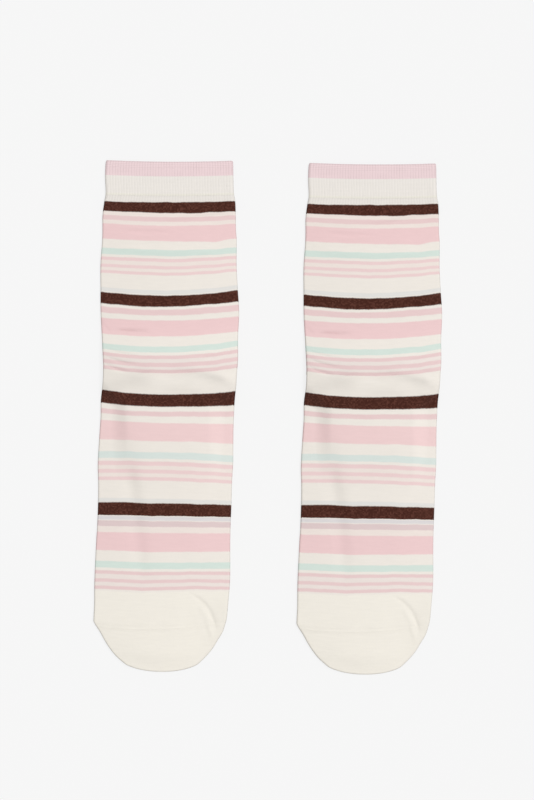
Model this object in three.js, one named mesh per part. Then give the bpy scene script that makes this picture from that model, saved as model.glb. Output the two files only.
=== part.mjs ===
// A pair of knitted crew socks laid flat side by side, fronts up, heels folded beneath.
// Millimetres. +X across, +Y up the socks towards the cuffs, +Z up off the surface.
// Each sock is a flattened tube of knitted cloth, built from closed rings that follow the knit's courses.
// Inside this file a place on a sock is "across" (+ to the right of its middle line)
// and "down" (from the middle of the cuff's top edge towards the toe).
import * as THREE from 'three';
import { mergeVertices } from 'three/addons/utils/BufferGeometryUtils.js';

// Driving sizes
const sockLength = 336.8;
const pairSpacing = 134.1;
const rightSockLower = 1.8;
const wall = 1.1;
const slit = 0.3;
const seamGap = 0.3;
const sideFold = 1.25;
const loftInLeg = 0.7;
const loftInCuff = 0.2;
const loftGrowsOver = 30;
const tipFlattensOver = 14;

// Where one knitted piece ends and the next begins, along the middle line
const cuffEnd = 22.6;
const ankleLine = 139.2;
const toeSeam = 307.6;

// Cuff ribs, on the front only: the back rests flat
const ribCount = 46;
const ribHeight = 0.4;
const ribStart = 4.6;
const ribStop = 20.4;
const ribGrowsOver = 0.6;

// Heel pocket under the foot
const heelDepth = 31;
const heelClearance = 0.4;
const heelRoundFrom = 22;
const heelCourseBow = 0.1;
const ankleRise = 15;
const liftMargin = 6;
const liftFade = 11;

// Half widths of the flat sock, left and right of its middle line
const outline = [
  { down: -1.2, left: 40.4, right: 42.8 },
  { down: 0.6, left: 41.0, right: 43.2 },
  { down: 9.6, left: 41.4, right: 43.4 },
  { down: 20.9, left: 41.0, right: 43.8 },
  { down: 25.5, left: 41.8, right: 44.6 },
  { down: 36.0, left: 43.1, right: 45.0 },
  { down: 51.9, left: 43.4, right: 45.7 },
  { down: 67.7, left: 44.4, right: 45.5 },
  { down: 83.6, left: 44.4, right: 46.3 },
  { down: 99.4, left: 44.3, right: 47.2 },
  { down: 115.2, left: 43.8, right: 46.7 },
  { down: 131.1, left: 43.2, right: 46.7 },
  { down: 146.9, left: 43.4, right: 45.6 },
  { down: 157.5, left: 44.0, right: 44.8 },
  { down: 178.6, left: 45.0, right: 43.6 },
  { down: 199.7, left: 46.2, right: 43.2 },
  { down: 223.5, left: 45.9, right: 42.2 },
  { down: 249.9, left: 47.2, right: 41.3 },
  { down: 276.3, left: 48.4, right: 41.2 },
  { down: 292.8, left: 48.8, right: 40.1 },
  { down: 301.4, left: 49.0, right: 39.1 },
  { down: 303.9, left: 48.8, right: 38.5 },
  { down: 310.6, left: 44.7, right: 36.3 },
  { down: 315.9, left: 41.9, right: 33.0 },
  { down: 321.2, left: 38.5, right: 30.1 },
  { down: 326.4, left: 34.3, right: 25.8 },
  { down: 331.7, left: 27.8, right: 20.0 },
];
const toeTipAcross = -3.3;

// How far the courses run ahead of the middle at the two sides (minus is towards the cuff)
const courseBow = [
  { at: 0, left: -1.1, right: -0.7 },
  { at: 27.2, left: -0.9, right: -0.8 },
  { at: 43.1, left: -1.9, right: -1.5 },
  { at: 69.2, left: -1.5, right: -1.9 },
  { at: 89.1, left: -2.8, right: -4.1 },
  { at: 105.7, left: -2.0, right: -2.8 },
  { at: 128.0, left: -2.0, right: -3.9 },
  { at: 154.1, left: -3.2, right: -2.8 },
  { at: 172.5, left: -2.0, right: 0.4 },
  { at: 192.1, left: -0.8, right: 2.0 },
  { at: 225.7, left: -0.6, right: 1.3 },
  { at: 245.2, left: -0.7, right: 0.4 },
  { at: 265.5, left: -1.6, right: -0.9 },
  { at: 281.6, left: -1.5, right: -1.0 },
  { at: 307.6, left: -2.8, right: -2.2 },
  { at: 321.0, left: -0.6, right: -0.5 },
  { at: 336.8, left: 0, right: 0 },
];

// The heel pocket's half widths, past the ankle line
const heelOutline = [
  { past: 0, left: 42.7, right: 45.6 },
  { past: 7, left: 36.5, right: 38.5 },
  { past: 15, left: 29.0, right: 30.5 },
  { past: 22, left: 22.0, right: 23.0 },
];

// The largest soft folds in the upper layer, each along a curve through three places given as
// [across, down]. A minus height is a trough.
const folds = [
  // the ankle crease, just above the heel's fold, and the dome over the heel
  { from: [-42, 131.5], over: [-26, 141.0], to: [36, 140.5], width: 2.6, height: -0.9 },
  { from: [-30, 150.5], over: [4, 147.5], to: [32, 150.0], width: 5.0, height: 0.8 },
  // the valley at each side of the heel
  { from: [-41, 146.0], over: [-33, 149.5], to: [-22, 151.5], width: 3.5, height: -0.7 },
  { from: [20, 142.0], over: [33, 143.0], to: [42, 147.5], width: 3.0, height: -0.7 },
  // the long trough down the instep and the ridge beside it
  { from: [-31, 168.0], over: [-26, 216.0], to: [-18, 262.0], width: 3.6, height: -0.7 },
  { from: [-36, 172.0], over: [-32, 214.0], to: [-26, 258.0], width: 3.6, height: 0.5 },
  // the fold at the right of the toe, with its ridge
  { from: [20, 286.0], over: [32, 297.0], to: [29, 317.0], width: 2.4, height: -0.8 },
  { from: [17, 290.0], over: [27, 299.0], to: [25, 315.0], width: 2.6, height: 0.7 },
  // the slack below the cuff
  { from: [36, 15.0], over: [38, 22.0], to: [37, 29.0], width: 2.6, height: -0.4 },
  { from: [2, 40.0], over: [24, 37.0], to: [42, 34.5], width: 3.0, height: -0.4 },
  { from: [8, 52.0], over: [26, 54.0], to: [42, 55.0], width: 4.0, height: 0.5 },
];
const foldSamples = 10;

// How finely the rings are made: points over the front, under the back, and round each side
const frontColumns = 16;
const backColumns = 11;
const sideSteps = 2;
const innerFrontColumns = 9;
const innerBackColumns = 8;
const innerSideSteps = 1;

// Courses where the rings lie
const cuffCourses = [0, 1.2, 4.0, 5.2, 20.4, 21.4, cuffEnd - seamGap / 2];
const legCourses = [
  cuffEnd + seamGap / 2, 28, 37, 46, 55, 66, 77, 88, 99, 110, 119, 126, 131, 135.5, ankleLine - seamGap / 2,
];
const footCourses = [
  ankleLine + seamGap / 2, 142.5, 146.5, 150.5, 155, 160, 166, 173, 180, 188, 199, 211, 223, 235, 247,
  258, 269, 279, 287, 293, 299, toeSeam - seamGap / 2,
];
const toeCourses = [toeSeam + seamGap / 2, 312, 316.5, 321, 325, 328.5, 331.7, 333.8, 335.4, 336.4];
const heelSteps = [0.2, 5, 10, 15, 20, 24, 27, 29.2, 30.5];

const clamp = THREE.MathUtils.clamp;
const lerp = THREE.MathUtils.lerp;
const smoothstep = THREE.MathUtils.smoothstep;

// Reads a column of a table as a smooth curve over its key column
function readTable(rows, key, column, at) {
  const last = rows.length - 1;
  if (at <= rows[0][key]) return rows[0][column];
  if (at >= rows[last][key]) return rows[last][column];
  const after = rows.findIndex((row) => row[key] > at);
  const slope = (i) => {
    const low = rows[Math.max(i - 1, 0)];
    const high = rows[Math.min(i + 1, last)];
    return (high[column] - low[column]) / (high[key] - low[key]);
  };
  const start = rows[after - 1];
  const end = rows[after];
  const span = end[key] - start[key];
  const t = (at - start[key]) / span;
  const bend = t * t * (3 - 2 * t);
  const leave = (t - 2 * t * t + t * t * t) * span * slope(after - 1);
  const arrive = (t * t * t - t * t) * span * slope(after);
  return start[column] + (end[column] - start[column]) * bend + leave + arrive;
}

// Share of the full width that is left where a rounded end closes (t runs 0 to 1 along it)
function closingWidth(t) {
  return Math.sqrt(Math.max(1 - clamp(t, 0, 1) ** 1.4, 0));
}

// The sock's left and right edge at one place down its length
function edgesAt(down) {
  const roundFrom = outline.at(-1).down;
  const share = closingWidth((down - roundFrom) / (sockLength - roundFrom));
  const left = -readTable(outline, 'down', 'left', down);
  const right = readTable(outline, 'down', 'right', down);
  return {
    left: toeTipAcross + (left - toeTipAcross) * share,
    right: toeTipAcross + (right - toeTipAcross) * share,
  };
}

// How far down a course lies, side is -1 at the left edge and 1 at the right
function downOf(course, side) {
  const left = readTable(courseBow, 'at', 'left', course);
  const right = readTable(courseBow, 'at', 'right', course);
  return course + ((right - left) / 2) * side + ((left + right) / 2) * side * side;
}

function heelEdgesAt(past) {
  const intoRound = (past - heelRoundFrom) / (heelDepth - heelRoundFrom);
  const share = closingWidth(intoRound);
  return {
    left: -readTable(heelOutline, 'past', 'left', past) * share,
    right: readTable(heelOutline, 'past', 'right', past) * share,
  };
}

// A curve through three values, at t = 0, a half and 1
function throughThree(first, second, third, t) {
  return (1 - t) * (1 - 2 * t) * first + 4 * t * (1 - t) * second + t * (2 * t - 1) * third;
}

function distanceToFold(fold, across, down) {
  let nearest = { distance: Infinity, along: 0 };
  for (let i = 0; i <= foldSamples; i++) {
    const t = i / foldSamples;
    const place = [0, 1].map((k) => throughThree(fold.from[k], fold.over[k], fold.to[k], t));
    const distance = Math.hypot(across - place[0], down - place[1]);
    if (distance < nearest.distance) nearest = { distance, along: t };
  }
  return nearest;
}

function foldHeight(across, down) {
  let height = 0;
  for (const fold of folds) {
    const { distance, along } = distanceToFold(fold, across, down);
    const fade = Math.sqrt(Math.sin(Math.PI * clamp(along, 0.04, 0.96)));
    height += fold.height * fade * Math.exp(-((distance / fold.width) ** 2));
  }
  return height;
}

// The heel pocket is as thick as two walls and their slit
const flatThickness = 2 * wall + slit;
const heelLift = flatThickness + heelClearance;

// How high the foot's back layer is carried by the heel pocket under it
function footLift(across, down) {
  const past = Math.max(down - ankleLine, 0);
  const { left, right } = heelEdgesAt(Math.min(past, heelRoundFrom));
  const beside = Math.max(left - across, across - right, 0);
  const beyond = Math.max(past - heelDepth, 0);
  const away = Math.hypot(beside, beyond);
  return heelLift * (1 - smoothstep(away, liftMargin, liftMargin + liftFade));
}

// Height of the front layer's outer face above the back layer's, before the heel lifts either.
// The loft and the folds die out at the sides and at the toe's tip.
function frontRise(across, down, side) {
  const slackened = smoothstep(down, cuffEnd, cuffEnd + loftGrowsOver);
  const crown = lerp(loftInCuff, loftInLeg, slackened) * (1 - side ** 4);
  const folded = foldHeight(across, down) * (1 - side ** 6);
  const fromTip = smoothstep(sockLength - down, 0, tipFlattensOver);
  return flatThickness + Math.max((crown + folded) * fromTip, 0);
}

function ribRise(column, columns, course) {
  const grown = smoothstep(course, ribStart - ribGrowsOver, ribStart + ribGrowsOver);
  const died = smoothstep(course, ribStop, cuffEnd);
  const isValley = column % 2 === 0;
  return isValley ? 0 : ribHeight * grown * (1 - died);
}

// One closed loop of the flattened tube, round the outer face or, with an inset, round the inner face.
// place gives edges, down, back height and front height for a course.
function makeLoop(course, place, columns, inset) {
  const loop = [];
  const at = (side, across) => {
    const down = place.down(course, side);
    return { down, back: place.back(across, down) + inset, front: place.front(across, down, side) - inset };
  };
  const leftEdge = place.edges(place.down(course, -1)).left + inset;
  const rightEdge = place.edges(place.down(course, 1)).right - inset;
  const round = Math.max(Math.min(sideFold, (rightEdge - leftEdge) / 4) - inset, slit / 2);
  const acrossOf = (share) => lerp(leftEdge + round, rightEdge - round, share);
  for (let i = 0; i < columns.front; i++) {
    const share = i / (columns.front - 1);
    const across = acrossOf(share);
    const { down, front } = at(share * 2 - 1, across);
    loop.push(new THREE.Vector3(across, -down, front + place.rib(i, columns.front, course)));
  }
  const turn = (share, way) => {
    const across = acrossOf(share);
    const { down, back, front } = at(share * 2 - 1, across);
    for (let i = 1; i <= columns.side; i++) {
      const angle = (Math.PI * i) / (columns.side + 1);
      const z = (front + back) / 2 + ((front - back) / 2) * Math.cos(angle) * way;
      loop.push(new THREE.Vector3(across + way * round * Math.sin(angle), -down, z));
    }
  };
  turn(1, 1);
  for (let i = columns.back - 1; i >= 0; i--) {
    const share = i / (columns.back - 1);
    const across = acrossOf(share);
    const { down, back } = at(share * 2 - 1, across);
    loop.push(new THREE.Vector3(across, -down, back));
  }
  turn(0, -1);
  return loop;
}

// Joins two loops with equal or different numbers of points by a strip of triangles
function stitch(triangles, one, two) {
  let i = 0;
  let j = 0;
  while (i < one.length || j < two.length) {
    const a = one[i % one.length];
    const b = two[j % two.length];
    const stepOne = i < one.length && (j >= two.length || (i + 1) / one.length <= (j + 1) / two.length);
    if (stepOne) {
      triangles.push(a, b, one[(i + 1) % one.length]);
      i += 1;
    } else {
      triangles.push(a, b, two[(j + 1) % two.length]);
      j += 1;
    }
  }
}

// Closes a small end loop of a pocket across its front and back points
function closeEnd(triangles, loop) {
  const middle = new THREE.Vector3();
  loop.forEach((point) => middle.add(point));
  middle.divideScalar(loop.length);
  loop.forEach((point, i) => triangles.push(point, middle, loop[(i + 1) % loop.length]));
}

function toGeometry(triangles) {
  const positions = triangles.flatMap((point) => [point.x, point.y, point.z]);
  const geometry = new THREE.BufferGeometry();
  geometry.setAttribute('position', new THREE.Float32BufferAttribute(positions, 3));
  return mergeVertices(geometry, 1e-4);
}

// The cloth between the outer loops and the inner loops: open at both ends, or a pocket closed at the last
function clothBetween(outerLoops, innerLoops, closedEnd) {
  const triangles = [];
  for (let i = 0; i + 1 < outerLoops.length; i++) stitch(triangles, outerLoops[i], outerLoops[i + 1]);
  for (let i = 0; i + 1 < innerLoops.length; i++) stitch(triangles, innerLoops[i + 1], innerLoops[i]);
  stitch(triangles, innerLoops[0], outerLoops[0]);
  if (closedEnd) {
    closeEnd(triangles, outerLoops.at(-1));
    closeEnd(triangles, [...innerLoops.at(-1)].reverse());
  } else {
    stitch(triangles, outerLoops.at(-1), innerLoops.at(-1));
  }
  return toGeometry(triangles);
}

const outerColumns = { front: frontColumns, back: backColumns, side: sideSteps };
const innerColumns = { front: innerFrontColumns, back: innerBackColumns, side: innerSideSteps };
const noRibs = () => 0;

function makeCuff() {
  const place = {
    down: downOf,
    edges: edgesAt,
    back: () => 0,
    front: frontRise,
    rib: ribRise,
  };
  const ribbed = { ...outerColumns, front: 2 * ribCount + 1 };
  const plain = { ...place, rib: noRibs };
  const outer = cuffCourses.map((course) => makeLoop(course, place, ribbed, 0));
  const innerCourses = [cuffCourses[0], ribStart, ribStop, cuffCourses.at(-1)];
  const inner = innerCourses.map((course) => makeLoop(course, plain, innerColumns, wall));
  return clothBetween(outer, inner, false);
}

function makeLeg() {
  const rise = (down) => heelLift * smoothstep(down, ankleLine - ankleRise, ankleLine);
  const place = {
    down: downOf,
    edges: edgesAt,
    back: () => 0,
    front: (across, down, side) => frontRise(across, down, side) + rise(down),
    rib: noRibs,
  };
  const outer = legCourses.map((course) => makeLoop(course, place, outerColumns, 0));
  const inner = legCourses.map((course) => makeLoop(course, place, innerColumns, wall));
  return clothBetween(outer, inner, false);
}

function makeFoot() {
  const place = {
    down: downOf,
    edges: edgesAt,
    back: footLift,
    front: (across, down, side) => frontRise(across, down, side) + footLift(across, down),
    rib: noRibs,
  };
  const outer = footCourses.map((course) => makeLoop(course, place, outerColumns, 0));
  const inner = footCourses.map((course) => makeLoop(course, place, innerColumns, wall));
  return clothBetween(outer, inner, false);
}

// What is taken off the front and the back where a pocket's tip rounds over, within a fold's radius of it
function tipShave(toTip) {
  const t = clamp(1 - toTip / sideFold, 0, 1);
  return (flatThickness / 2) * (1 - Math.sqrt(1 - t * t));
}

function makeToe() {
  const shaved = (down) => tipShave(sockLength - down);
  const place = {
    down: downOf,
    edges: edgesAt,
    back: (across, down) => shaved(down),
    front: (across, down, side) => frontRise(across, down, side) - shaved(down),
    rib: noRibs,
  };
  const innerEdges = (down) => edgesAt(Math.min(down + wall, sockLength));
  const inside = { ...place, edges: innerEdges, back: () => 0, front: frontRise };
  const outer = toeCourses.map((course) => makeLoop(course, place, outerColumns, 0));
  const innerCourses = toeCourses.filter((course) => course < sockLength - 2 * wall);
  const inner = innerCourses.map((course) => makeLoop(course, inside, innerColumns, wall));
  return clothBetween(outer, inner, true);
}

function makeHeel() {
  const shaved = (down) => tipShave(ankleLine + heelDepth - down);
  const place = {
    down: (past, side) => downOf(ankleLine + seamGap / 2, side) + past * (1 + heelCourseBow * side * side),
    edges: (down) => heelEdgesAt(down - ankleLine),
    back: (across, down) => shaved(down),
    front: (across, down) => flatThickness - shaved(down),
    rib: noRibs,
  };
  const inside = { ...place, back: () => 0, front: () => flatThickness };
  const outer = heelSteps.map((past) => makeLoop(past, place, innerColumns, 0));
  const innerSteps = heelSteps.filter((past) => past < heelDepth - 2 * wall);
  const inner = innerSteps.map((past) => makeLoop(past, inside, innerColumns, wall));
  return clothBetween(outer, inner, true);
}

const knit = (color) => new THREE.MeshStandardMaterial({ color, roughness: 0.95, metalness: 0 });
const ribKnit = knit('#e9dcd4');
const stripedKnit = knit('#ecdcd2');
const creamKnit = knit('#efebe0');

const pieces = [
  { name: 'cuff', geometry: makeCuff(), material: ribKnit },
  { name: 'leg', geometry: makeLeg(), material: stripedKnit },
  { name: 'heel', geometry: makeHeel(), material: creamKnit },
  { name: 'foot', geometry: makeFoot(), material: stripedKnit },
  { name: 'toe', geometry: makeToe(), material: creamKnit },
];

function makeSock(side) {
  const sock = new THREE.Group();
  for (const { name, geometry, material } of pieces) {
    const mesh = new THREE.Mesh(geometry, material);
    mesh.name = `${side}_${name}`;
    sock.add(mesh);
  }
  return sock;
}

const pair = new THREE.Group();
const leftSock = makeSock('left');
const rightSock = makeSock('right');
rightSock.position.set(pairSpacing, -rightSockLower, 0);
pair.add(leftSock, rightSock);

// The origin is under the middle of the pair, on the surface
const middle = new THREE.Box3().setFromObject(pair).getCenter(new THREE.Vector3());
leftSock.position.sub(new THREE.Vector3(middle.x, middle.y, 0));
rightSock.position.sub(new THREE.Vector3(middle.x, middle.y, 0));

export default pair;
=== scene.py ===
# A pair of striped crew socks laid flat on a pale floor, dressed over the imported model.
# Sizes in the dictionaries are millimetres, apart from the sheets' at the end, which are metres.
# A place on a sock is "across" (+ to the right of its middle line) and "down" (from the middle of
# the cuff's top edge towards the toe).
import math

import bpy
import numpy as np
from mathutils import Matrix, Vector, noise


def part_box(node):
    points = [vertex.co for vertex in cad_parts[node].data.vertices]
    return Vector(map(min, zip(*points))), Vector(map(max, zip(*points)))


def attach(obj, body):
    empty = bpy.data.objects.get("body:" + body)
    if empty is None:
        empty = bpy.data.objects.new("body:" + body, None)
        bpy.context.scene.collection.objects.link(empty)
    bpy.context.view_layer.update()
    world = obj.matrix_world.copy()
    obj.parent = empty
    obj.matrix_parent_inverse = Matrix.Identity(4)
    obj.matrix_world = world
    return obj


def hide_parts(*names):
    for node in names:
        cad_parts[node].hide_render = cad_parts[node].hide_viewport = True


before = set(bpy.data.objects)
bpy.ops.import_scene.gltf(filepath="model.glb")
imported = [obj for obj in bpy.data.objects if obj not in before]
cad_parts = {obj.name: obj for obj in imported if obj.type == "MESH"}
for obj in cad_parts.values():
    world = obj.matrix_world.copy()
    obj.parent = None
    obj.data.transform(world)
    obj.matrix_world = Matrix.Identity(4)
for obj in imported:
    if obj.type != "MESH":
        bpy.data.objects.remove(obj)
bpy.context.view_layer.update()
print("frame loaded,", len(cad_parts), "nodes")

mm = 0.001

# the cloth of one sock and where its knitted pieces end, along the middle line
sock = {
    "length": 336.8,
    "wall": 1.1,
    "slit": 0.3,
    "sideFold": 1.25,
    "cuffEnd": 22.6,
    "ankleLine": 139.2,
    "toeSeam": 308.2,
    "tipAcross": -3.3,
    "tipFullness": 0.3,
    "loftInCuff": 0.6,
    "loftInLeg": 2.1,
    "loftGrowsOver": 30,
    "tipFlattensOver": 14,
    "foldAtMost": 0.96,
    "reliefSides": 6,
    # where the painted edge shade starts on a side fold, and how strong it is at a cap's tip
    "edgeShadeFrom": 0.1,
    "edgeShadeAtTip": 0.5,
    "seamHalfGap": 0.01,
}

# half widths of the flat sock, left and right of its middle line
outline = [
    {"down": -1.2, "left": 40.4, "right": 42.8},
    {"down": 0.6, "left": 41.0, "right": 43.2},
    {"down": 9.6, "left": 41.4, "right": 43.4},
    {"down": 20.9, "left": 41.0, "right": 43.8},
    {"down": 25.5, "left": 41.8, "right": 44.6},
    {"down": 36.0, "left": 43.1, "right": 45.0},
    {"down": 45.0, "left": 43.1, "right": 45.1},
    {"down": 51.9, "left": 43.3, "right": 45.6},
    {"down": 67.7, "left": 44.4, "right": 45.5},
    {"down": 83.6, "left": 44.4, "right": 46.3},
    {"down": 99.4, "left": 44.3, "right": 47.2},
    {"down": 115.2, "left": 43.5, "right": 46.5},
    {"down": 131.1, "left": 42.7, "right": 46.5},
    {"down": 138.5, "left": 42.5, "right": 45.9},
    {"down": 146.9, "left": 42.9, "right": 45.4},
    {"down": 157.5, "left": 44.2, "right": 44.3},
    {"down": 168.0, "left": 44.3, "right": 43.75},
    {"down": 178.6, "left": 45.0, "right": 43.4},
    {"down": 199.7, "left": 46.2, "right": 43.2},
    {"down": 211.5, "left": 45.9, "right": 42.5},
    {"down": 223.5, "left": 46.0, "right": 42.2},
    {"down": 241.0, "left": 46.6, "right": 41.55},
    {"down": 249.9, "left": 47.2, "right": 41.3},
    {"down": 276.3, "left": 48.4, "right": 41.2},
    {"down": 292.8, "left": 48.6, "right": 39.9},
    {"down": 301.4, "left": 49.0, "right": 39.1},
    {"down": 303.9, "left": 48.8, "right": 38.5},
    {"down": 310.6, "left": 44.7, "right": 36.3},
    {"down": 315.9, "left": 41.8, "right": 33.1},
    {"down": 321.2, "left": 38.4, "right": 29.9},
    {"down": 326.4, "left": 34.2, "right": 25.6},
    {"down": 331.7, "left": 28.2, "right": 20.2},
]

# how far a course runs ahead of its middle at the two sides, minus is towards the cuff
courseBow = [
    {"at": 0, "left": -1.1, "right": -0.7},
    {"at": 27.2, "left": -0.9, "right": -0.8},
    {"at": 43.1, "left": -1.9, "right": -1.5},
    {"at": 69.2, "left": -1.5, "right": -1.9},
    {"at": 89.1, "left": -2.7, "right": -3.6},
    {"at": 105.7, "left": -2.0, "right": -2.8},
    {"at": 128.0, "left": -2.0, "right": -3.9},
    {"at": 154.1, "left": -3.1, "right": -2.2},
    {"at": 172.5, "left": -2.3, "right": 0.4},
    {"at": 192.1, "left": -0.6, "right": 2.4},
    {"at": 225.7, "left": -0.6, "right": 1.3},
    {"at": 245.2, "left": -0.7, "right": 0.4},
    {"at": 265.5, "left": -1.2, "right": -0.1},
    {"at": 281.6, "left": -0.7, "right": 0.0},
    {"at": 308.2, "left": -1.6, "right": -3.8},
    {"at": 321.0, "left": -0.6, "right": -0.5},
    {"at": 336.8, "left": 0, "right": 0},
]

# the heel pocket folded under the foot, its half widths past the ankle line
heel = {
    "depth": 31,
    "clearance": 0.4,
    "roundFrom": 22,
    "fullness": 0.18,
    "riseFrom": 106,
    "riseTo": 131,
    "puff": 0.9,
    "puffOver": 15,
    "puffSides": 8,
    "liftMargin": 3.5,
    "liftFadesAside": 12,
    "liftFadesAhead": 48,
    "frontSteps": 60,
    "foldSteps": 6,
    "backSteps": 60,
    "wales": 88,
    "foldWales": 2,
    "firstCourse": 0.03,
    "rows": 26,
    "innerRows": 8,
    "outline": [
        {"past": 0, "left": 42.7, "right": 45.6},
        {"past": 7, "left": 36.5, "right": 38.5},
        {"past": 15, "left": 29.0, "right": 30.5},
        {"past": 22, "left": 22.0, "right": 23.0},
    ],
}

# soft folds of the front, each through three places [across, down]; a minus height is a trough,
# and a shade is painted shade that darkens the yarn along it
folds = [
    # the ankle crease above the heel's fold, the slope into it and the dome over the heel
    {"through": [[-46, 128.0], [-37, 135.6], [-22, 138.6]], "width": 1.0, "height": -0.85, "shade": 0.01},
    {"through": [[-26, 138.8], [6, 139.4], [48, 135.0]], "width": 1.8, "height": -1.1},
    {"through": [[-48, 126.0], [0, 129.0], [43, 125.0]], "width": 5.5, "height": 0.8},
    {"through": [[-26, 147.5], [4, 146.0], [32, 148.0]], "width": 8.0, "height": 1.4},
    # the valley at the dome's left and the ridge at its right
    {"through": [[-60, 155.0], [-31, 147.0], [-6, 138.5]], "width": 5.8, "height": -0.9, "shade": 0.08},
    {"through": [[10, 137.5], [31, 141.0], [54, 148.5]], "width": 3.4, "height": 1.1},
    {"through": [[-6, 139.0], [24, 142.8], [58, 155.0]], "width": 4.4, "height": -0.2, "shade": 0.045},
    {"through": [[14, 138.5], [29, 141.0], [40, 145.0]], "width": 2.2, "height": -0.1, "shade": 0.075},
    {"through": [[-12, 153.5], [18, 152.5], [52, 155.0]], "width": 4.0, "height": -0.3, "shade": 0.03},
    # short creases that fan out above the ankle crease at the left
    {"through": [[-46, 122.5], [-37, 130.0], [-18, 134.0]], "width": 1.0, "height": -0.7, "shade": 0.02},
    {"through": [[-45, 119.5], [-36, 125.0], [-16, 128.6]], "width": 1.0, "height": -0.5},
    {"through": [[22, 130.5], [36, 127.0], [48, 120.0]], "width": 1.2, "height": -0.6},
    # the long trough down the instep, its steep side and the swell to its right
    {"through": [[-37, 142.0], [-30, 182.0], [-20, 240.0]], "width": 6.0, "height": -0.8, "shade": 0.02},
    {"through": [[-28, 195.0], [-21, 232.0], [-16, 288.0]], "width": 5.0, "height": -0.8, "shade": 0.025},
    {"through": [[16, 180.0], [18, 222.0], [20, 270.0]], "width": 14.0, "height": 0.5},
    # the folds at the right of the toe
    {"through": [[11, 283.5], [26.6, 294.5], [32.0, 313.0]], "width": 1.2, "height": -0.4},
    {"through": [[26, 296.0], [30.4, 303.0], [32.2, 311.0]], "width": 0.8, "height": -0.4},
    {"through": [[13, 284.5], [27.9, 294.5], [33.4, 312.0]], "width": 1.8, "height": 0, "shade": 0.04},
    {"through": [[20, 292.0], [26, 301.0], [30, 315.0]], "width": 2.0, "height": 0.35},
    {"through": [[26, 304.0], [29.0, 312.0], [33.5, 323.0]], "width": 1.3, "height": 0.4},
    # painted shade on the right side of the toe
    {"through": [[30, 282.0], [36, 305.0], [22, 332.0]], "width": 8.0, "height": 0, "shade": 0.03},
    # the seam under the ribs and the slack below it
    {"through": [[-70, 20.1], [0, 22.8], [70, 20.1]], "width": 0.8, "height": -0.12, "shade": 0.03},
    {"through": [[36, 12.0], [38, 22.0], [37, 32.0]], "width": 2.2, "height": -0.5},
    {"through": [[-12, 43.0], [18, 38.0], [50, 33.0]], "width": 1.8, "height": -0.9},
    {"through": [[-32, 45.0], [-14, 46.5], [8, 46.0]], "width": 1.2, "height": -0.6},
    {"through": [[-40, 56.5], [4, 59.0], [50, 57.5]], "width": 2.8, "height": 0.45},
    # short creases at the left of the second wide stripe
    {"through": [[-37, 110.7], [-24, 111.3], [-10, 111.4]], "width": 0.8, "height": -0.8, "shade": 0.08},
    {"through": [[-44, 101.0], [-42.5, 107.0], [-37, 112.0]], "width": 1.1, "height": -0.9, "shade": 0.04},
]

# where slack pulls the courses out of line on the front, plus is towards the toe
pulls = [
    {"at": [16.6, 33.0], "reach": [6, 4], "by": 0.55},
    {"at": [-20.0, 33.0], "reach": [12, 3], "by": -0.33},
    {"at": [-40.0, 33.5], "reach": [5, 2.5], "by": -0.35},
    {"at": [-2.0, 33.5], "reach": [5, 2.5], "by": 0.25},
    {"at": [-30.0, 26.6], "reach": [9, 3], "by": 0.28},
    {"at": [30.0, 33.5], "reach": [4, 2.5], "by": -0.25},
    {"at": [22.0, 52.5], "reach": [15, 5], "by": 0.6},
    {"at": [-26.0, 153.0], "reach": [7, 4], "by": 0.35},
    {"at": [-12.0, 151.8], "reach": [9, 3], "by": 0.22},
    {"at": [34.0, 154.0], "reach": [9, 3], "by": 0.3},
    {"at": [26.0, 96.5], "reach": [16, 4], "by": -0.42},
    {"at": [24.0, 87.5], "reach": [7, 3], "by": 0.22},
    {"at": [-15.0, 97.0], "reach": [9, 4], "by": 0.25},
    {"at": [-32.0, 226.0], "reach": [9, 4], "by": -0.25},
    {"at": [31.0, 52.0], "reach": [6, 6], "by": 0.9},
    {"at": [6.0, 65.0], "reach": [10, 12], "by": 0.45},
    {"at": [-38.0, 71.0], "reach": [8, 8], "by": -0.4},
    {"at": [40.0, 73.0], "reach": [8, 8], "by": -0.4},
    {"at": [34.0, 122.0], "reach": [7, 5], "by": 0.6},
    {"at": [0.0, 124.0], "reach": [22, 6], "by": 0.35},
    {"at": [-38.0, 133.0], "reach": [8, 12], "by": -0.45},
    {"at": [30.0, 133.0], "reach": [8, 6], "by": 0.4},
    {"at": [0.0, 137.0], "reach": [24, 4], "by": 0.3},
    {"at": [-26.0, 165.0], "reach": [8, 6], "by": 0.55},
    {"at": [14.0, 166.0], "reach": [18, 6], "by": -0.4},
    {"at": [-14.0, 190.0], "reach": [9, 12], "by": 0.45},
    {"at": [-14.0, 228.0], "reach": [8, 12], "by": 0.35},
    {"at": [-12.0, 256.0], "reach": [10, 8], "by": 0.5},
    {"at": [-16.0, 280.0], "reach": [10, 12], "by": 0.45},
    {"at": [18.0, 280.0], "reach": [15, 12], "by": -0.6},
    {"at": [22.0, 188.0], "reach": [12, 8], "by": -0.4},
]

foldSamples = 25
foldFade = 0.3
slopeStep = 0.5
weld = {"doubles": 0.002, "slivers": 0.001}
flatThickness = 2 * sock["wall"] + sock["slit"]
heelLift = flatThickness + heel["clearance"]


def readTable(rows, key, column, at):
    places = np.array([row[key] for row in rows], float)
    values = np.array([row[column] for row in rows], float)
    slopes = np.gradient(values, places)
    slopes[1:-1] = (values[2:] - values[:-2]) / (places[2:] - places[:-2])
    at = np.clip(at, places[0], places[-1])
    after = np.clip(np.searchsorted(places, at, side="right"), 1, len(places) - 1)
    span = places[after] - places[after - 1]
    t = (at - places[after - 1]) / span
    bend = t * t * (3 - 2 * t)
    leave = (t - 2 * t**2 + t**3) * span * slopes[after - 1]
    arrive = (t**3 - t**2) * span * slopes[after]
    return values[after - 1] + (values[after] - values[after - 1]) * bend + leave + arrive


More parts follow.
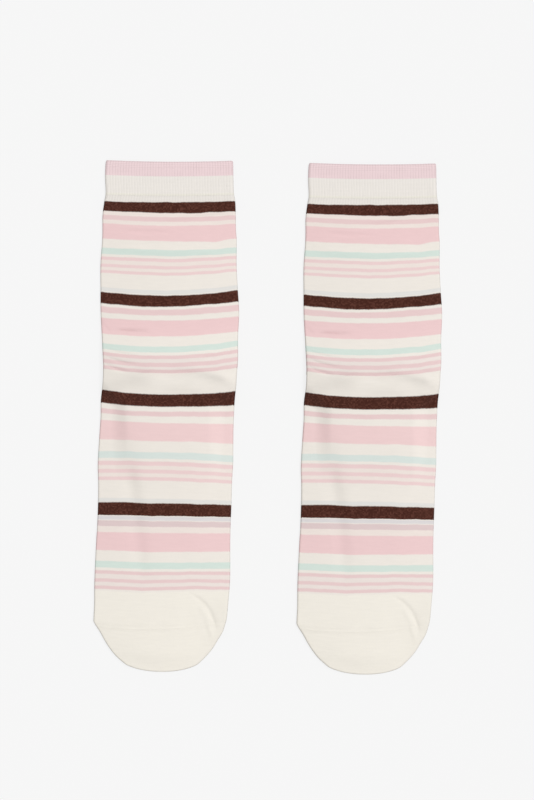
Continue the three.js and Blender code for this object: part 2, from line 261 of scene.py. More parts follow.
def smoothStep(value, low, high):
    t = np.clip((value - low) / (high - low), 0, 1)
    return t * t * (3 - 2 * t)


# the share of a width left at t of the way to a rounded tip
def closingWidth(t, fullness):
    t = np.clip(t, 0, 1)
    return np.sqrt((1 - t) * (1 + fullness * t))


def edgesAt(down):
    roundFrom = outline[-1]["down"]
    share = closingWidth((down - roundFrom) / (sock["length"] - roundFrom), sock["tipFullness"])
    left = -readTable(outline, "down", "left", down)
    right = readTable(outline, "down", "right", down)
    tip = sock["tipAcross"]
    return tip + (left - tip) * share, tip + (right - tip) * share


def heelEdgesAt(past):
    share = closingWidth((past - heel["roundFrom"]) / (heel["depth"] - heel["roundFrom"]), heel["fullness"])
    left = -readTable(heel["outline"], "past", "left", past) * share
    right = readTable(heel["outline"], "past", "right", past) * share
    return left, right


def downOf(course, side):
    left = readTable(courseBow, "at", "left", course)
    right = readTable(courseBow, "at", "right", course)
    return course + (right - left) / 2 * side + (left + right) / 2 * side * side


def foldLine(fold):
    t = np.linspace(0, 1, foldSamples)[:, None]
    first, middle, last = np.array(fold["through"], float)
    return (1 - t) * (1 - 2 * t) * first + 4 * t * (1 - t) * middle + t * (2 * t - 1) * last


# each fold's share at every point, 1 on its line's middle and 0 away from it
def foldShare(fold, across, down):
    line = foldLine(fold)
    steps = len(line) - 1
    nearest = np.full_like(across, np.inf)
    along = np.zeros_like(across)
    for i in range(steps):
        start, reach = line[i], line[i + 1] - line[i]
        t = ((across - start[0]) * reach[0] + (down - start[1]) * reach[1]) / (reach @ reach)
        t = np.clip(t, 0, 1)
        distance = np.hypot(across - start[0] - t * reach[0], down - start[1] - t * reach[1])
        closer = distance < nearest
        nearest = np.where(closer, distance, nearest)
        along = np.where(closer, (i + t) / steps, along)
    fade = smoothStep(along, 0, foldFade) * smoothStep(1 - along, 0, foldFade)
    return fade * np.exp(-((nearest / fold["width"]) ** 2))


def foldHeight(across, down):
    return sum(fold["height"] * foldShare(fold, across, down) for fold in folds)


def foldShade(across, down):
    shaded = [fold for fold in folds if "shade" in fold]
    return sum(fold["shade"] * foldShare(fold, across, down) for fold in shaded)


def pulledBy(across, down):
    shift = np.zeros_like(across)
    for pull in pulls:
        aside = (across - pull["at"][0]) / pull["reach"][0]
        along = (down - pull["at"][1]) / pull["reach"][1]
        shift += pull["by"] * np.exp(-(aside**2) - along**2)
    return shift


def footLift(across, down):
    past = np.maximum(down - sock["ankleLine"], 0)
    left, right = heelEdgesAt(np.minimum(past, heel["roundFrom"]))
    beside = np.maximum(np.maximum(left - across, across - right), 0)
    beyond = np.maximum(past - heel["depth"], 0)
    aside = np.maximum(beside - heel["liftMargin"], 0) / heel["liftFadesAside"]
    ahead = np.maximum(beyond - heel["liftMargin"], 0) / heel["liftFadesAhead"]
    return heelLift * (1 - smoothStep(np.hypot(aside, ahead), 0, 1))


def legRise(across, down):
    return heelLift * smoothStep(down, heel["riseFrom"], heel["riseTo"])


# the small unevenness of the cloth: broad smooth noise and a finer, weaker layer
uneven = {
    "height": 0.1,
    "every": 17,
    "finer": 2.3,
    "fineShare": 0.5,
    "broadSlice": 3.7,
    "fineSlice": 9.1,
    "cuffShare": 0.3,
    "legGain": 0.7,
}


def unevenness(across, down):
    values = []
    for x, y in zip(across.ravel() / uneven["every"], down.ravel() / uneven["every"]):
        broad = noise.noise(Vector((x, y, uneven["broadSlice"])))
        fine = noise.noise(Vector((uneven["finer"] * x, uneven["finer"] * y, uneven["fineSlice"])))
        values.append(broad + uneven["fineShare"] * fine)
    return uneven["height"] * np.array(values).reshape(across.shape)


# the toe's linking seam: a low ridge between two shallow furrows, with painted shade in the furrows
toeRidge = {"height": 0.14, "width": 0.8, "furrow": 0.05, "shade": 0.014}


# the share of the ridge and of the furrows at every point, 0 to 1
def seamShares(down, side):
    past = down - downOf(np.full_like(down, sock["toeSeam"]), side)
    beside = np.abs(np.abs(past) - 2 * toeRidge["width"])
    return np.exp(-((past / toeRidge["width"]) ** 2)), np.exp(-((beside / toeRidge["width"]) ** 2))


def seamRise(down, side):
    ridge, furrows = seamShares(down, side)
    return toeRidge["height"] * ridge - toeRidge["furrow"] * furrows


# height of the front's outer face over the back's, before the heel lifts either
def frontRise(across, down, side):
    slackened = smoothStep(down, sock["cuffEnd"], sock["cuffEnd"] + sock["loftGrowsOver"])
    loft = sock["loftInCuff"] + (sock["loftInLeg"] - sock["loftInCuff"]) * slackened
    puff = heel["puff"] * np.exp(-(((down - sock["ankleLine"]) / heel["puffOver"]) ** 2))
    crown = loft * (1 - side**2) + puff * (1 - side ** heel["puffSides"])
    ripple = unevenness(across, down) * (uneven["cuffShare"] + uneven["legGain"] * slackened)
    inward = 1 - side ** sock["reliefSides"]
    folded = (foldHeight(across, down) + ripple) * inward
    fromTip = smoothStep(sock["length"] - down, 0, sock["tipFlattensOver"])
    linked = seamRise(down, side) * inward
    return flatThickness + np.maximum((crown + folded) * fromTip, 0) + linked


def floorUnder(across, down):
    return np.zeros_like(across)


def tipShave(toTip):
    t = np.clip(1 - toTip / sock["sideFold"], 0, 1)
    return flatThickness / 2 * (1 - np.sqrt(1 - t * t))


# the steps round a flattened tube: front from left to right, right fold, back, left fold
def stepsRound(part):
    frontSteps, foldSteps, backSteps = part["frontSteps"], part["foldSteps"], part["backSteps"]
    frontWales, foldWales = part["wales"], part["foldWales"]
    steps = []
    for i in range(frontSteps + 1):
        steps.append({"share": i / frontSteps, "out": 0, "up": 1, "wale": frontWales * i / frontSteps})
    for i in range(1, foldSteps + 1):
        turn = math.pi * i / (foldSteps + 1)
        wale = frontWales + foldWales * i / (foldSteps + 1)
        steps.append({"share": 1, "out": math.sin(turn), "up": math.cos(turn), "wale": wale})
    for i in range(backSteps + 1):
        wale = frontWales + foldWales + frontWales * i / backSteps
        steps.append({"share": 1 - i / backSteps, "out": 0, "up": -1, "wale": wale})
    for i in range(1, foldSteps + 1):
        turn = math.pi * i / (foldSteps + 1)
        wale = 2 * frontWales + foldWales + foldWales * i / (foldSteps + 1)
        steps.append({"share": 0, "out": -math.sin(turn), "up": -math.cos(turn), "wale": wale})
    steps.append({"share": 0, "out": 0, "up": 1, "wale": 2 * (frontWales + foldWales)})
    return {key: np.array([step[key] for step in steps], float)[None, :] for key in steps[0]}


# the rings' courses (0) or insets (1)
def ringColumn(rings, which):
    return np.array([ring[which] for ring in rings], float)[:, None]


# points of every ring: courses and insets give the wall's section, from outer face to inner face
def ringPoints(rings, around, place):
    course, inset = ringColumn(rings, 0), ringColumn(rings, 1)
    side = 2 * around["share"] - 1
    down = place["down"](course, side)
    leftDown = place["down"](course, np.full_like(course, -1))
    rightDown = place["down"](course, np.full_like(course, 1))
    left, leftSlope = place["edge"](leftDown, inset, 0)
    right, rightSlope = place["edge"](rightDown, inset, 1)
    middle = (left + right) / 2
    left = np.minimum(left + inset, middle)
    right = np.maximum(right - inset, middle)
    half = (right - left) / 2
    foldRound = np.maximum(sock["sideFold"] - inset, sock["slit"] / 2)
    widest = half * sock["foldAtMost"]
    leftRound = np.minimum(foldRound * np.hypot(1, leftSlope), widest)
    rightRound = np.minimum(foldRound * np.hypot(1, rightSlope), widest)
    across = left + leftRound + (right - rightRound - left - leftRound) * around["share"]
    front = place["front"](across, down, side) - inset
    back = place["back"](across, down) + inset
    front = np.maximum(front, back)
    roundHere = np.where(around["out"] > 0, rightRound, leftRound)
    x = across + around["out"] * roundHere
    z = (front + back) / 2 + (front - back) / 2 * around["up"]
    if "rib" in place:
        z = z + place["rib"](around, course, inset)
    return np.stack([x, -down, z], axis=-1)


# where the left (0) or right (1) edge lies, and its slope just before that place
def edgeAndSlope(edges, place, first, which):
    here = edges(place)[which]
    before = edges(np.maximum(place - slopeStep, first))[which]
    return here, (here - before) / slopeStep


def sockEdge(down, inset, which):
    return edgeAndSlope(edgesAt, np.minimum(down + inset, sock["length"]), outline[0]["down"], which)


def heelEdge(down, inset, which):
    past = np.minimum(down - sock["ankleLine"] + inset, heel["depth"])
    return edgeAndSlope(heelEdgesAt, past, 0, which)


# how a piece's points are placed, where it has nothing of its own
sockPlace = {"down": downOf, "edge": sockEdge, "front": frontRise, "back": floorUnder, "rim": np.zeros_like}


# the painted edge shade round the tip of a cap, more than 0 on it
def tipRim(toTip):
    return sock["edgeShadeAtTip"] - toTip / sock["sideFold"]


# how much a point gets the painted edge shade along a fold or a rim, 0 to 1
def rimShade(rings, around, place):
    course = ringColumn(rings, 0)
    onFold = smoothStep(np.abs(around["out"]), sock["edgeShadeFrom"], 1.0) + 0 * course
    onRim = smoothStep(place["rim"](course), 0, 1) + 0 * around["share"]
    return np.maximum(onFold, onRim)


# how much painted shade the front gets in its folds and beside the toe seam, 0 to 1
def hollowShade(around, across, down):
    furrows = seamShares(down, 2 * around["share"] - 1)[1]
    return (foldShade(across, down) + toeRidge["shade"] * furrows) * (around["up"] > 0)


def selectOnly(pieces):
    bpy.ops.object.select_all(action="DESELECT")
    for piece in pieces:
        piece.select_set(True)
    bpy.context.view_layer.objects.active = pieces[0]


def nameBoth(piece, name):
    piece.name = name
    piece.data.name = name


# a grid rolled up into a ring of cloth: one face column per step round, one face row per ring
def rollGrid(name, rings, around, place, closed, planarWale=None, sharpFrom=50):
    rings = rings + [rings[0]] if closed else rings
    columns = around["share"].shape[1] - 1
    rows = len(rings) - 1
    bpy.ops.object.select_all(action="DESELECT")
    bpy.ops.mesh.primitive_grid_add(x_subdivisions=columns, y_subdivisions=rows, size=1)
    piece = bpy.context.object
    nameBoth(piece, name)
    mesh = piece.data
    flat = np.empty(len(mesh.vertices) * 3)
    mesh.vertices.foreach_get("co", flat)
    flat = flat.reshape(-1, 3)
    column = np.rint((flat[:, 0] + 0.5) * columns).astype(int)
    row = np.rint((flat[:, 1] + 0.5) * rows).astype(int)
    points = ringPoints(rings, around, place)
    across, down = points[:, :, 0], -points[:, :, 1]
    mesh.vertices.foreach_set("co", (points[row, column] * mm).ravel())
    wale = across / planarWale if planarWale else np.broadcast_to(around["wale"], across.shape)
    course = np.broadcast_to(ringColumn(rings, 0), across.shape)
    course = course - pulledBy(across, down) * np.maximum(around["up"], 0)
    corner = np.empty(len(mesh.loops), int)
    mesh.loops.foreach_get("vertex_index", corner)
    knit = np.stack([wale[row, column][corner], course[row, column][corner]], axis=-1)
    uvs = mesh.uv_layers[0] if mesh.uv_layers else mesh.uv_layers.new()
    uvs.name = "knit"
    uvs.data.foreach_set("uv", knit.ravel())
    shades = {"rim": rimShade(rings, around, place), "hollow": hollowShade(around, across, down)}
    for key, shade in shades.items():
        mesh.attributes.new(key, "FLOAT", "POINT").data.foreach_set("value", shade[row, column])
    mesh.update()
    bpy.ops.object.mode_set(mode="EDIT")
    bpy.ops.mesh.select_all(action="SELECT")
    bpy.ops.mesh.remove_doubles(threshold=weld["doubles"] * mm)
    bpy.ops.mesh.dissolve_degenerate(threshold=weld["slivers"] * mm)
    bpy.ops.mesh.delete_loose(use_verts=True, use_edges=True, use_faces=False)
    bpy.ops.mesh.select_all(action="SELECT")
    bpy.ops.mesh.normals_make_consistent(inside=False)
    bpy.ops.object.mode_set(mode="OBJECT")
    bpy.ops.object.shade_smooth_by_angle(angle=math.radians(sharpFrom))
    return piece


def evenCourses(start, end, spacing):
    count = max(round((end - start) / spacing), 1)
    return [start + (end - start) * i / count for i in range(count + 1)]


# courses in stretches, each [end, spacing]
def coursesIn(start, stretches):
    courses = [start]
    for end, spacing in stretches:
        courses += evenCourses(courses[-1], end, spacing)[1:]
    return courses


# the rings of a striped tube between two seams: its outer face, then its inner face back again
def tubeRings(start, part, end):
    stretches = [*part["stretches"], (end - sock["seamHalfGap"], part["lastSpacing"])]
    outer = coursesIn(start + sock["seamHalfGap"], stretches)
    inner = reversed(evenCourses(outer[0], outer[-1], tube["innerSpacing"]))
    return [(course, 0) for course in outer] + [(course, sock["wall"]) for course in inner]


# the rings of a closed cap: its outer face from the tip to the mouth, then its inner face
def capRings(outer, inner):
    return [(course, 0) for course in reversed(outer)] + [(course, sock["wall"]) for course in inner]


cuff = {
    "frontSteps": 276,
    "foldSteps": 5,
    "backSteps": 70,
    "wales": 46,
    "foldWales": 1,
    "ribHeight": 0.15,
    "ribRoundness": 0.6,
    "ribStart": 4.6,
    "ribStop": 23.0,
    "ribGone": 31.0,
    "ribGrowsOver": 0.6,
    "ribOnTurn": 0.85,
    "ribGain": 0.15,
    "ribFromEdge": (0.6, 1.6),
    "edgeRound": 0.55,
    "edgeSteps": 8,
    "turnCourse": 1.1,
    "innerFrom": 1.4,
    "innerSpacing": 2.6,
    "outerFrom": 1.2,
    "outerSpacing": 0.55,
    "rimWidth": 0.9,
    "sharpFrom": 70,
    "pinkUntil": 9.9,
    "seamCourse": 21.9,
    "seamReach": 0.7,
}


def cuffRib(around, course, inset):
    onOuterFront = (around["up"] == 1) & (inset == 0)
    across = np.abs(np.sin(np.pi * around["wale"])) ** cuff["ribRoundness"]
    start, over = cuff["ribStart"], cuff["ribGrowsOver"]
    grown = cuff["ribOnTurn"] + cuff["ribGain"] * smoothStep(course, start - over, start + over)
    grown = grown * smoothStep(course, *cuff["ribFromEdge"])
    died = smoothStep(course, cuff["ribStop"], cuff["ribGone"])
    return np.where(onOuterFront, cuff["ribHeight"] * across * grown * (1 - died), 0)


def legRib(around, course, inset):
    ribs = dict(around)
    ribs["wale"] = around["wale"] * cuff["wales"] / tube["wales"]
    return cuffRib(ribs, course, inset)


def makeCuff():
    edge = cuff["edgeRound"]
    wall = sock["wall"]
    overTheEdge = []
    for i in range(cuff["edgeSteps"], -1, -1):
        turn = math.pi * i / cuff["edgeSteps"]
        overTheEdge.append((edge * (1 - math.sin(turn)), wall / 2 * (1 - math.cos(turn))))
    seam = sock["cuffEnd"] - sock["seamHalfGap"]
    inner = reversed(evenCourses(cuff["innerFrom"], seam, cuff["innerSpacing"]))
    outer = evenCourses(cuff["outerFrom"], seam, cuff["outerSpacing"])
    rings = [(course, wall) for course in inner] + overTheEdge + [(course, 0) for course in outer]
    # the cuff's top edge gets painted edge shade over its first rimWidth millimetres
    place = {**sockPlace, "rib": cuffRib, "rim": lambda course: 1 - course / cuff["rimWidth"]}
    around = stepsRound(cuff)
    return rollGrid("left_sock_cuff", rings, around, place, closed=True, sharpFrom=cuff["sharpFrom"])


# what the two striped tubes, leg and foot, have in common
tube = {"frontSteps": 138, "foldSteps": 7, "backSteps": 46, "wales": 91, "foldWales": 2, "innerSpacing": 4}

# stretches of courses, each [end, spacing], and the spacing up to the next seam
leg = {"stretches": [(27, 0.6), (120, 1.0)], "lastSpacing": 0.45}


def makeLeg():
    rings = tubeRings(sock["cuffEnd"], leg, sock["ankleLine"])
    place = {
        **sockPlace,
        "front": lambda across, down, side: frontRise(across, down, side) + legRise(across, down),
        "rib": legRib,
    }
    return rollGrid("left_sock_leg", rings, stepsRound(tube), place, closed=True)


foot = {"stretches": [(156, 0.5), (282, 1.1)], "lastSpacing": 0.5}


def makeFoot():
    rings = tubeRings(sock["ankleLine"], foot, sock["toeSeam"])
    place = {
        **sockPlace,
        "front": lambda across, down, side: frontRise(across, down, side) + footLift(across, down),
        "back": footLift,
    }
    return rollGrid("left_sock_foot", rings, stepsRound(tube), place, closed=True)


toe = {
    "frontSteps": 120,
    "foldSteps": 7,
    "backSteps": 60,
    "wales": 88,
    "foldWales": 2,
    "waleWidth": 0.98,
    "spacing": 0.5,
    "tipFrom": 318,
    "rows": 26,
    "innerRows": 9,
}


# courses that crowd towards a rounded tip
def tipCourses(start, tip, count):
    return [start + (tip - start) * math.sin(math.pi / 2 * i / count) for i in range(count + 1)]


def makeToe():
    start = sock["toeSeam"] + sock["seamHalfGap"]
    tip = sock["length"]
    outer = evenCourses(start, toe["tipFrom"], toe["spacing"])[:-1]
    outer += tipCourses(toe["tipFrom"], tip, toe["rows"])
    rings = capRings(outer, tipCourses(start, tip - sock["wall"], toe["innerRows"]))
    place = {
        **sockPlace,
        "front": lambda across, down, side: frontRise(across, down, side) - tipShave(tip - down),
        "back": lambda across, down: tipShave(tip - down),
        "rim": lambda course: tipRim(tip - course),
    }
    around = stepsRound(toe)
    return rollGrid("left_sock_toe", rings, around, place, closed=False, planarWale=toe["waleWidth"])


def makeHeel():
    first, depth = heel["firstCourse"], heel["depth"]
    outer = tipCourses(first, depth, heel["rows"])
    rings = capRings(outer, tipCourses(first, depth - sock["wall"], heel["innerRows"]))
    start = sock["ankleLine"]
    tip = start + depth
    place = {
        "down": lambda past, side: downOf(start, side * (1 - (past / depth) ** 2)) + past,
        "edge": heelEdge,
        "front": lambda across, down, side: flatThickness - tipShave(tip - down),
        "back": lambda across, down: tipShave(tip - down),
        "rim": lambda past: tipRim(depth - past),
    }
    around = stepsRound(heel)
    return rollGrid("left_sock_heel", rings, around, place, closed=False, planarWale=toe["waleWidth"])


# the yarns' own colours, 0 to 255
yarn = {
    "cream": (228, 222, 214),
    "pinkCream": (226, 216, 210),
    "toeCream": (231, 226, 216),
    "ribCream": (224, 219, 213),
    "rosyCream": (228, 217, 210),
    "cuffPink": (225, 203, 205),
    "brown": (62, 28, 18),
    "brownGlint": (108, 66, 55),
    "thinPink": (222, 196, 195),
    "softPink": (226, 200, 199),
    "greyPink": (213, 194, 193),
    "pink": (227, 196, 196),
    "palePink": (228, 199, 198),
    "mint": (204, 217, 209),
    "paleMint": (208, 217, 212),
    "grey": (217, 215, 211),
    "blueGrey": (211, 207, 207),
    "seamLine": (224, 220, 210),
}

# stripes by the course where they start and end
stripeGroups = [
    {
        "from": 22,
        "to": 84,
        "bands": [
            {"from": 22.3, "to": 26.3, "yarn": "ribCream"},
            {"from": 26.7, "to": 33.9, "yarn": "brown", "after": "rosyCream"},
            {"from": 36.6, "to": 39.7, "yarn": "thinPink", "after": "rosyCream"},
            {"from": 42.4, "to": 52.4, "yarn": "pink"},
            {"from": 58.2, "to": 62.2, "yarn": "mint"},
            {"from": 63.9, "to": 66.1, "yarn": "softPink", "after": "rosyCream"},
            {"from": 68.8, "to": 70.9, "yarn": "softPink", "after": "rosyCream"},
            {"from": 73.1, "to": 75.1, "yarn": "softPink"},
        ],
    },
    {
        "from": 84,
        "to": 146,
        "bands": [
            {"from": 85.0, "to": 87.7, "yarn": "grey"},
            {"from": 88.4, "to": 95.8, "yarn": "brown"},
            {"from": 97.7, "to": 101.5, "yarn": "thinPink"},
            {"from": 104.9, "to": 115.3, "yarn": "pink"},
            {"from": 121.8, "to": 125.7, "yarn": "mint"},
            {"from": 127.8, "to": 130.2, "yarn": "thinPink", "after": "pinkCream"},
            {"from": 132.7, "to": 135.3, "yarn": "thinPink", "after": "pinkCream"},
            {"from": 137.1, "to": 139.5, "yarn": "thinPink"},
        ],
    },
    {
        "from": 146,
        "to": 227,
        "bands": [
            {"from": 153.6, "to": 161.9, "yarn": "brown"},
            {"from": 165.2, "to": 168.3, "yarn": "thinPink"},
            {"from": 172.5, "to": 184.3, "yarn": "palePink"},
            {"from": 191.6, "to": 195.9, "yarn": "paleMint"},
            {"from": 197.8, "to": 200.6, "yarn": "softPink", "after": "rosyCream"},
            {"from": 203.2, "to": 205.7, "yarn": "softPink", "after": "rosyCream"},
            {"from": 208.2, "to": 210.5, "yarn": "softPink"},
            {"from": 222.4, "to": 225.4, "yarn": "grey"},
        ],
    },
    {
        "from": 224.9,
        "to": 290,
        "bands": [
            {"from": 225.3, "to": 233.9, "yarn": "brown"},
            {"from": 234.0, "to": 236.6, "yarn": "blueGrey"},
            {"from": 237.1, "to": 240.9, "yarn": "greyPink", "after": "rosyCream"},
            {"from": 244.9, "to": 257.2, "yarn": "pink"},
            {"from": 264.4, "to": 268.7, "yarn": "mint"},
            {"from": 270.5, "to": 272.7, "yarn": "thinPink", "after": "pinkCream"},
            {"from": 275.7, "to": 277.9, "yarn": "thinPink", "after": "pinkCream"},
            {"from": 280.4, "to": 282.6, "yarn": "thinPink"},
        ],
    },
]

# a grain is a noise's scale across, its scale along and its detail
finish = {
    "shader": {"Roughness": 0.92, "Sheen Weight": 0.06, "Sheen Roughness": 0.6, "Specular IOR Level": 0.12},
    "stripeEdge": 0.5,
    "courseHeight": 0.76,
    "ribCourseHeight": 0.8,
    "limbRoundness": 0.55,
    "limbSlant": 0.85,
    "loopDepth": 0.28,
    "loopLevel": 0.72,
    "stitchShade": 0.1,
    "stitchMean": 0.6,
    "mottle": 0.05,
    "mottleGrain": (0.09, 0.7, 3),
    "fibreShare": 0.25,
    "fibreGrain": (6, 9, 2),
    "darkBelow": 0.3,
    "glint": 0.48,
    "glintRarity": 2,
    "valleySharpness": 1.5,
    "pinkValleyShade": 0.1,
    "creamValleyShade": 0.01,
    "legValleyShade": 0.07,
    "ribsFadePast": 3.5,
    "patchGrain": (0.16, 0.12, 2),
    "patchSpread": 2.4,
    "patchShift": -0.2,
    "wobble": 0.35,
    "wobbleGrain": (0.12, 0.02, 2),
    "ribTooth": 0.35,
    "toeYarnFrom": 284.0,
    "bump": 0.5,
    "bumpDepth": 0.18,
    "rimShade": 0.21,
}


# a yarn's colour as linear light, by the sRGB curve
def yarnColour(name):
    channels = []
    for value in yarn[name]:
        share = value / 255
        linear = share / 12.92 if share <= 0.04045 else ((share + 0.055) / 1.055) ** 2.4
        channels.append(linear)
    return (*channels, 1)


def addNode(tree, kind, **settings):
    node = tree.nodes.new(kind)
    for key, value in settings.items():
        setattr(node, key, value)
    return node


def plug(tree, socket, value):
    if isinstance(value, bpy.types.NodeSocket):
        tree.links.new(value, socket)
    else:
        socket.default_value = value


def doMath(tree, operation, *values):
    node = addNode(tree, "ShaderNodeMath", operation=operation)
    for socket, value in zip(node.inputs, values):
        plug(tree, socket, value)
    return node.outputs[0]


def mixColours(tree, blend, share, first, second):
    node = addNode(tree, "ShaderNodeMix", data_type="RGBA", blend_type=blend)
    plug(tree, node.inputs[0], share)
    plug(tree, node.inputs[6], first)
    plug(tree, node.inputs[7], second)
    return node.outputs[2]


def mixNumbers(tree, share, first, second):
    node = addNode(tree, "ShaderNodeMix", data_type="FLOAT")
    plug(tree, node.inputs[0], share)
    plug(tree, node.inputs[2], first)
    plug(tree, node.inputs[3], second)
    return node.outputs[0]


def setInputs(node, values):
    for name, value in values.items():
        node.inputs[name].default_value = value


def newMaterial(name):
    material = bpy.data.materials.new(name)
    material.use_nodes = True
    return material, material.node_tree, material.node_tree.nodes["Principled BSDF"]


def wear(piece, material):
    piece.data.materials.clear()
    piece.data.materials.append(material)


def noiseOn(tree, wale, course, grain):
    scaleAcross, scaleAlong, detail = finish[grain]
    place = addNode(tree, "ShaderNodeCombineXYZ")
    plug(tree, place.inputs[0], doMath(tree, "MULTIPLY", wale, scaleAcross))
    plug(tree, place.inputs[1], doMath(tree, "MULTIPLY", course, scaleAlong))
    texture = addNode(tree, "ShaderNodeTexNoise", noise_dimensions="2D")
    plug(tree, texture.inputs["Vector"], place.outputs[0])
    setInputs(texture, {"Scale": 1, "Detail": detail})
    return texture.outputs[0]


def startKnit(name):
    material, tree, shader = newMaterial(name)
    setInputs(shader, finish["shader"])
    uvs = addNode(tree, "ShaderNodeUVMap", uv_map="knit")
    parts = addNode(tree, "ShaderNodeSeparateXYZ")
    tree.links.new(uvs.outputs[0], parts.inputs[0])
    return material, tree, shader, parts.outputs[0], parts.outputs[1]


# height of the V stitches, 0 between them to 1 on a loop's back; also how far from the wale's middle
def stitches(tree, wale, course, courseHeight):
    aside = doMath(tree, "ABSOLUTE", doMath(tree, "SUBTRACT", doMath(tree, "FRACT", wale), 0.5))
    aside = doMath(tree, "MULTIPLY", aside, 2)
    limb = doMath(tree, "SINE", doMath(tree, "MULTIPLY", aside, math.pi))
    limb = doMath(tree, "POWER", doMath(tree, "MAXIMUM", limb, 0), finish["limbRoundness"])
    steps = doMath(tree, "DIVIDE", course, courseHeight)
    steps = doMath(tree, "ADD", steps, doMath(tree, "MULTIPLY", aside, finish["limbSlant"]))
    loop = doMath(tree, "SINE", doMath(tree, "MULTIPLY", steps, 2 * math.pi))
    loop = doMath(tree, "MULTIPLY_ADD", loop, finish["loopDepth"], finish["loopLevel"])
    return doMath(tree, "MULTIPLY", limb, loop), aside


def stripeRamp(tree, course, group):
    length = group["to"] - group["from"]
    share = doMath(tree, "DIVIDE", doMath(tree, "SUBTRACT", course, group["from"]), length)
    ramp = addNode(tree, "ShaderNodeValToRGB")
    plug(tree, ramp.inputs[0], share)
    stops = ramp.color_ramp.elements
    soft = finish["stripeEdge"] / 2
    marks = []
    ground = yarnColour("cream")
    for band in group["bands"]:
        colour = yarnColour(band["yarn"])
        marks.append((band["from"] - soft, ground))
        marks.append((band["from"] + soft, colour))
        marks.append((band["to"] - soft, colour))
        ground = yarnColour(band.get("after", "cream"))
        marks.append((band["to"] + soft, ground))
    for i, (at, colour) in enumerate(marks):
        place = (at - group["from"]) / length
        stop = stops[i] if i < 2 else stops.new(place)
        stop.position = place
        stop.color = colour
    return ramp.outputs[0]


def finishKnit(tree, shader, colour, wale, course, stitch):
    mottle = noiseOn(tree, wale, course, "mottleGrain")
    mottle = doMath(tree, "MULTIPLY_ADD", mottle, finish["mottle"], 1 - finish["mottle"] / 2)
    # painted shade between the stitches' loops, lighter on their backs
    darkest = 1 - finish["stitchShade"] * finish["stitchMean"]
    shade = doMath(tree, "MULTIPLY_ADD", stitch, finish["stitchShade"], darkest)
    both = doMath(tree, "MULTIPLY", mottle, shade)
    # painted shade along the side folds, the cuff's top edge and the caps' tips
    rim = addNode(tree, "ShaderNodeAttribute", attribute_name="rim").outputs["Fac"]
    both = doMath(tree, "MULTIPLY", both, doMath(tree, "MULTIPLY_ADD", rim, -finish["rimShade"], 1))
    # painted shade in the folds' hollows and the toe seam's furrows
    hollow = addNode(tree, "ShaderNodeAttribute", attribute_name="hollow").outputs["Fac"]
    both = doMath(tree, "MULTIPLY", both, doMath(tree, "SUBTRACT", 1, hollow))
    grey = addNode(tree, "ShaderNodeCombineColor")
    for socket in grey.inputs:
        plug(tree, socket, both)
    shaded = mixColours(tree, "MULTIPLY", 1.0, colour, grey.outputs[0])
    tree.links.new(shaded, shader.inputs["Base Color"])
    fibres = noiseOn(tree, wale, course, "fibreGrain")
    height = doMath(tree, "MULTIPLY_ADD", fibres, finish["fibreShare"], stitch)
    bump = addNode(tree, "ShaderNodeBump")
    setInputs(bump, {"Strength": finish["bump"], "Distance": finish["bumpDepth"] * mm})
    plug(tree, bump.inputs["Height"], height)
    tree.links.new(bump.outputs[0], shader.inputs["Normal"])


# 1 along the bottom of the valley between two ribs, where painted shade goes, 0 on the ribs
def ribValley(tree, ribs):
    height = doMath(tree, "ABSOLUTE", doMath(tree, "SINE", doMath(tree, "MULTIPLY", ribs, math.pi)))
    return doMath(tree, "POWER", doMath(tree, "SUBTRACT", 1, height), finish["valleySharpness"])


# lighter loops that show here and there in the dark stripes
def glintOnDark(tree, colour, wale, course):
    parts = addNode(tree, "ShaderNodeSeparateColor")
    plug(tree, parts.inputs[0], colour)
    isDark = doMath(tree, "LESS_THAN", parts.outputs[0], finish["darkBelow"])
    loop = addNode(tree, "ShaderNodeCombineXYZ")
    plug(tree, loop.inputs[0], doMath(tree, "FLOOR", wale))
    row = doMath(tree, "DIVIDE", course, finish["courseHeight"])
    plug(tree, loop.inputs[1], doMath(tree, "FLOOR", row))
    chance = addNode(tree, "ShaderNodeTexWhiteNoise", noise_dimensions="2D")
    plug(tree, chance.inputs["Vector"], loop.outputs[0])
    rare = doMath(tree, "POWER", chance.outputs["Value"], finish["glintRarity"])
    glint = doMath(tree, "MULTIPLY", doMath(tree, "MULTIPLY", rare, finish["glint"]), isDark)
    return mixColours(tree, "MIX", glint, colour, yarnColour("brownGlint"))


